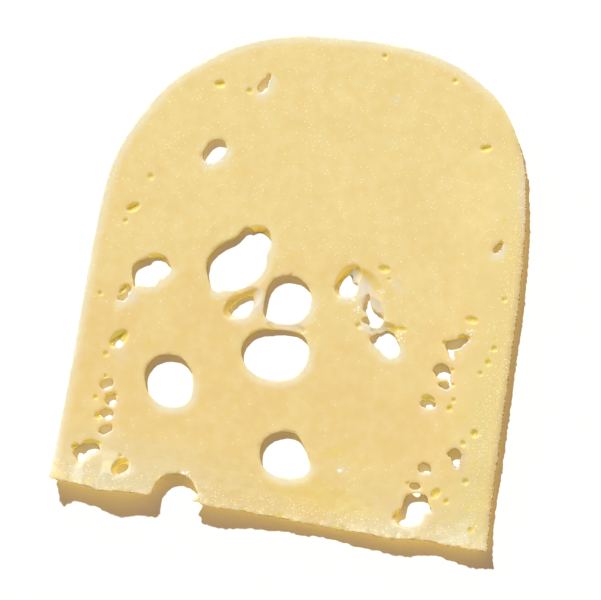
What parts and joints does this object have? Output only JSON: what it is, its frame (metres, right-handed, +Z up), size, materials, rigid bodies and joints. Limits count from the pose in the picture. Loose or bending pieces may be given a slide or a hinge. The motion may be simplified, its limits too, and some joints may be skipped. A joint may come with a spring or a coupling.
{
  "type": "cheese slice",
  "caption": "Thin arched slice of Swiss-type cheese with round eyes right through it and a dried, upturned base edge.",
  "frame": {"origin": "centre of the slice's bounding box, on the surface it lies on", "axes": "+Z up out of the cut face, +Y along the slice's length towards its arched end, +X along its straight base"},
  "size_m": [0.1006, 0.1112, 0.0076],
  "materials": {
    "cheese": "soft, slightly moist pale yellow cheese, paler and drier at the base"
  },
  "bodies": {
    "root": {"cheese_slice": "cheese"}
  },
  "joints": []
}
